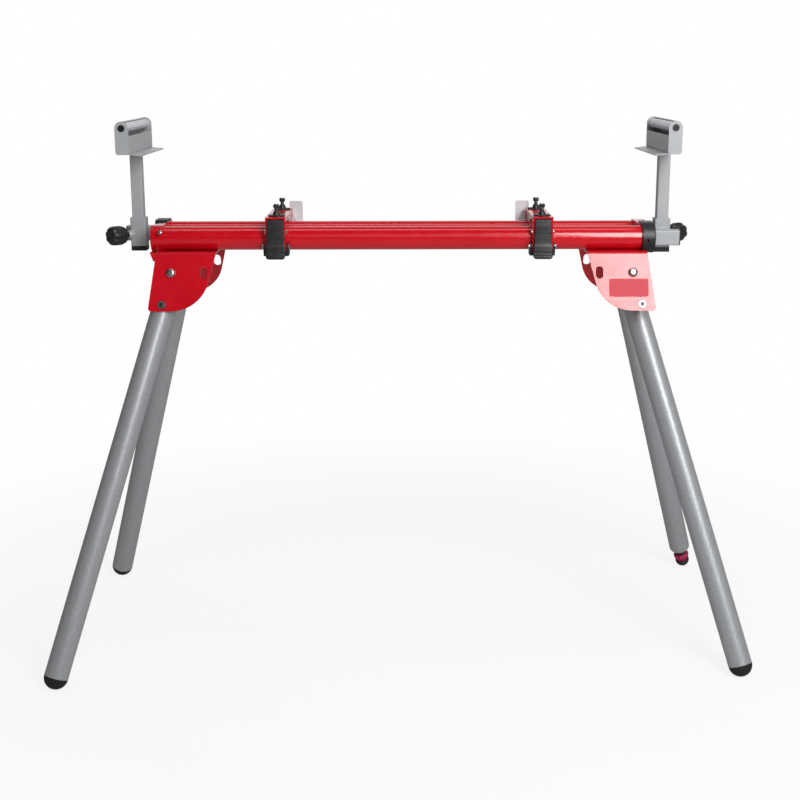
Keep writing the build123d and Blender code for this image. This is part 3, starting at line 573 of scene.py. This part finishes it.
# %% Label
label_film, tree, shader, place = new_finish("label film", (0.60, 0.02, 0.04), 0.55)
tree.links.new(spread(tree, noise(tree, place, 500.0), 0.50, 0.60), shader.inputs["Roughness"])
pivot, outward = joint_line("leg_fold_front_right")
outward = outward if outward.y < 0 else -outward
upward = Vector((1, 0, 0)).cross(-outward)
upward = upward if upward.z > 0 else -upward
cheek_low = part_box("cheek_front_right")[0]
cheek_thickness = 3.0 * MM
edge = Vector((pivot.x, cheek_low.y, cheek_low.z + cheek_thickness * outward.z))
middle = pivot + outward * ((edge - pivot).dot(outward) + 0.05 * MM)
middle += upward * -29.0 * MM + Vector((-8.0 * MM, 0, 0))
label_width = 73.0 * MM
label_height = 34.0 * MM
film_thickness = 0.25 * MM
# The smaller this power, the squarer the label's corners.
corner_power = 0.12
rings = []
for lift in (0.0, film_thickness):
    ring = []
    for step in range(32):
        angle = 2 * pi * step / 32
        wide = copysign(abs(cos(angle)) ** corner_power, cos(angle)) * label_width / 2
        tall = copysign(abs(sin(angle)) ** corner_power, sin(angle)) * label_height / 2
        ring.append(middle + outward * lift + Vector((wide, 0, 0)) + upward * tall)
    rings.append(ring)
label = skin("bracket_label", rings, label_film)
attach(label, "frame")
print(label.name, "at", tuple(round(v, 3) for v in middle))

# %% [markdown]
# A blind rivet holds the left end of the front tube in its collar. Its low dome is turned.

# %% Rivet
collar_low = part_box("collar_left")[0]
tube_low, tube_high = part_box("tube_front")
tube_axis = Vector((tube_low.x + 17.5 * MM, (tube_low.y + tube_high.y) / 2,
                    (tube_low.z + tube_high.z) / 2))
rivet_lean = 0.44
rivet_out = Vector((0, -cos(rivet_lean), sin(rivet_lean)))
rivet_place = tube_axis + rivet_out * (tube_axis.y - collar_low.y)
# Height over the collar and radius.
dome = [(-1.2, 4.2), (0.6, 4.2), (1.3, 3.5), (1.7, 2.2), (1.8, 1.2), (1.2, 0.9), (1.2, 0.1)]
dome = [(along * MM, radius * MM, 0) for along, radius in dome]
rivet = skin("collar_rivet", turned_rings(rivet_place, rivet_out, dome, 24), zinc_steel)
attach(rivet, "frame")
print(rivet.name, "at", tuple(round(v, 3) for v in rivet_place))

# %% [markdown]
# Thin black rings lie round the lock bushes where they meet the cheeks: painted shade, standing for the
# shadow in the gap round each bush. The tip of each lock button stands a known height over its cheek, and the
# cheek's face is found from it.

# %% Painted shadow rings round the lock bushes
button_height = 4.0 * MM


def shadow_gap_ring(name):
    """Black ring on the cheek, about the axis of a lock button: painted shade for the gap round the bush."""
    centre, inward = joint_line("lock_press_" + name)
    outward = -inward
    button = nodes["lock_button_" + name]
    tip = max((button.matrix_world @ vertex.co - centre).dot(outward) for vertex in button.data.vertices)
    # Height over the cheek and radius.
    section = [(0.05, 6.8), (0.05, 7.9), (0.5, 7.8), (0.7, 7.3), (0.7, 6.8)]
    section = [(tip - button_height + along * MM, radius * MM, 0) for along, radius in section]
    # The black ring is painted shade: it stands for the shadow in the gap round the lock bush.
    shadow_ring = skin("lock_shadow_ring_" + name, turned_rings(centre, outward, section, 40), black_plastic,
                closed=False)
    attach(shadow_ring, "frame")
    return shadow_ring


for place_name in ("front_left", "rear_left", "front_right", "rear_right"):
    print(shadow_gap_ring(place_name).name)

# %% [markdown]
# The neck of the adjustable foot is threaded. A thread is one ridge that climbs round the neck: a
# small diamond swept along a helix, sunk to half its depth in the neck.

# %% Thread of the foot
points_per_turn = 40
ridge_height = 0.7 * MM


def thread_on_leg(name, start, end, radius, pitch, body):
    """Helical ridge about the leg's line."""
    across = foot_up.orthogonal().normalized()
    other = foot_up.cross(across)
    turns = (end - start) / pitch
    count = int(turns * points_per_turn)
    rings = []
    for i in range(count + 1):
        angle = 2 * pi * i / points_per_turn
        out = across * cos(angle) + other * sin(angle)
        centre = foot_place + foot_up * (start + pitch * angle / (2 * pi)) + out * radius
        ridge = ridge_height * min(1.0, i / 12 + 0.1, (count - i) / 12 + 0.1)
        rings.append([centre + out * ridge, centre + foot_up * ridge * 0.8,
                      centre - out * ridge, centre - foot_up * ridge * 0.8])
    piece = skin(name, rings, black_plastic)
    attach(piece, body)
    return piece


neck_start = ring_start + 17.5 * MM
neck_end = neck_start + 9.5 * MM
print(thread_on_leg("foot_thread", neck_start, neck_end, 10.9 * MM, 2.2 * MM, "leg_rear_right").name)

# %% [markdown]
# The floor is a white sweep. A Light Path node tells the rays that are seen, straight or in a
# reflection, from the rays that only carry light. Seen rays get a mix of the lit floor and plain
# white: near the feet the lit floor still shows their shadow, and further out white takes over, so
# that no horizon shows.

# %% Rays that are seen
def seen_rays(tree):
    """One for camera, glossy and transmission rays, nought for the others."""
    rays = tree.nodes.new("ShaderNodeLightPath")
    either = tree.nodes.new("ShaderNodeMath")
    either.operation = "MAXIMUM"
    tree.links.new(rays.outputs["Is Camera Ray"], either.inputs[0])
    tree.links.new(rays.outputs["Is Glossy Ray"], either.inputs[1])
    any_of_three = tree.nodes.new("ShaderNodeMath")
    any_of_three.operation = "MAXIMUM"
    tree.links.new(either.outputs["Value"], any_of_three.inputs[0])
    tree.links.new(rays.outputs["Is Transmission Ray"], any_of_three.inputs[1])
    return rays, any_of_three.outputs["Value"]


# %% Floor and backdrop
floor_mesh = bpy.data.meshes.new("studio_floor")
floor_mesh.from_pydata([(-30, -30, 0), (30, -30, 0), (30, 30, 0), (-30, 30, 0)], [], [(0, 1, 2, 3)])
floor = bpy.data.objects.new("studio_floor", floor_mesh)
bpy.context.scene.collection.objects.link(floor)
floor_paint, tree, shader, place = new_finish("studio floor", (0.86, 0.86, 0.86), 0.8)
tree.links.new(blend_colours(tree, noise(tree, place, 2.0), (0.85, 0.85, 0.85), (0.87, 0.87, 0.87)),
               shader.inputs["Base Color"])
shader.inputs["Specular IOR Level"].default_value = 0.0
white = tree.nodes.new("ShaderNodeEmission")
far_off = tree.nodes.new("ShaderNodeVectorMath")
far_off.operation = "LENGTH"
tree.links.new(place, far_off.inputs[0])
share = spread(tree, far_off.outputs["Value"], 0.86, 1.0, 0.7, 1.6)
rays, seen = seen_rays(tree)
dimmer = spread(tree, rays.outputs["Is Camera Ray"], 0.22, 1.0, 0.0, 1.0)
tree.links.new(dimmer, white.inputs["Strength"])
when_seen = tree.nodes.new("ShaderNodeMath")
when_seen.operation = "MULTIPLY"
tree.links.new(share, when_seen.inputs[0])
tree.links.new(seen, when_seen.inputs[1])
blend = tree.nodes.new("ShaderNodeMixShader")
tree.links.new(when_seen.outputs["Value"], blend.inputs["Fac"])
tree.links.new(shader.outputs["BSDF"], blend.inputs[1])
tree.links.new(white.outputs["Emission"], blend.inputs[2])
tree.links.new(blend.outputs["Shader"], tree.nodes["Material Output"].inputs["Surface"])
floor_mesh.materials.append(floor_paint)
print("floor ready")

# %% [markdown]
# The world is the room round the stand. The camera sees it plain white. A glossy surface sees the
# white backdrop behind the stand fall off to a dark room in front of it, which is what keeps a
# gloss red deep and a black moulding black. All other rays get an even grey fill.

# %% World
world = bpy.data.worlds.new("studio")
bpy.context.scene.world = world
world.use_nodes = True
tree = world.node_tree
fill = tree.nodes["Background"]
fill.inputs["Color"].default_value = (0.225, 0.23, 0.24, 1.0)
page = tree.nodes.new("ShaderNodeBackground")
page.inputs["Color"].default_value = (1.0, 1.0, 1.0, 1.0)
rays, seen = seen_rays(tree)
direction = tree.nodes.new("ShaderNodeTexCoord")
sides = tree.nodes.new("ShaderNodeSeparateXYZ")
tree.links.new(direction.outputs["Generated"], sides.inputs["Vector"])
backdrop = spread(tree, sides.outputs["Y"], 0.02, 0.9, 0.5, 0.97)
strength = tree.nodes.new("ShaderNodeMath")
strength.operation = "MAXIMUM"
tree.links.new(rays.outputs["Is Camera Ray"], strength.inputs[0])
tree.links.new(backdrop, strength.inputs[1])
tree.links.new(strength.outputs["Value"], page.inputs["Strength"])
choose = tree.nodes.new("ShaderNodeMixShader")
tree.links.new(seen, choose.inputs["Fac"])
tree.links.new(fill.outputs["Background"], choose.inputs[1])
tree.links.new(page.outputs["Background"], choose.inputs[2])
tree.links.new(choose.outputs["Shader"], tree.nodes["World Output"].inputs["Surface"])
print("world ready")

# %% [markdown]
# The key light is a tall soft box in front, to the right. Its mirror image is what draws the pale
# band along the right half of the front tube and the glare on the right bracket, so its place is
# set by reflection: the brackets lean back by the splay of the legs and look up at it. A weaker
# box beside it carries the band on, and a long box overhead draws the thin line on the tubes.

# %% Lamps
def soft_box(name, place, target, width, height, radiance):
    """An area lamp that faces its target; radiance 1 is as bright as white paper in full light."""
    lamp = bpy.data.lights.new(name, "AREA")
    lamp.shape = "RECTANGLE"
    lamp.size = width
    lamp.size_y = height
    lamp.energy = radiance * pi * width * height
    lamp_object = bpy.data.objects.new(name, lamp)
    lamp_object.location = place
    lamp_object.rotation_euler = (Vector(target) - Vector(place)).to_track_quat("-Z", "Y").to_euler()
    bpy.context.scene.collection.objects.link(lamp_object)
    return lamp_object


soft_box("key box", (1.15, -2.15, 2.05), (0.55, 0.0, 0.75), 1.05, 1.9, 9.6)
glare = soft_box("glare box", (1.14, -2.14, 2.05), (0.55, 0.0, 0.75), 1.05, 1.9, 2.2)
glare.visible_diffuse = False
soft_box("side box", (0.05, -2.45, 2.1), (0.0, 0.0, 0.8), 1.0, 1.2, 0.5)
soft_box("overhead box", (0.0, 0.1, 3.0), (0.0, 0.0, 0.8), 3.0, 0.6, 2.0)
print("lamps ready")

# %% Camera
eye = Vector((0.010, -2.588, 1.104))
pitch = 0.2290
turn = 0.0
roll = -0.0020
level = Vector((cos(turn), sin(turn), 0.0))
ahead = Vector((-sin(turn) * cos(pitch), cos(turn) * cos(pitch), -sin(pitch)))
above = level.cross(ahead)
right = cos(roll) * level + sin(roll) * above
upward = cos(roll) * above - sin(roll) * level
camera_data = bpy.data.cameras.new("camera")
camera_data.sensor_width = 36.0
camera_data.lens = 60.75
camera_data.shift_x = -0.0092
camera_data.shift_y = -0.0217
camera = bpy.data.objects.new("camera", camera_data)
axes = Matrix((right, upward, -ahead)).transposed().to_4x4()
camera.matrix_world = Matrix.Translation(eye) @ axes
bpy.context.scene.collection.objects.link(camera)
bpy.context.scene.camera = camera
bpy.context.scene.view_settings.view_transform = "Standard"
print("camera at", tuple(round(v, 3) for v in eye))
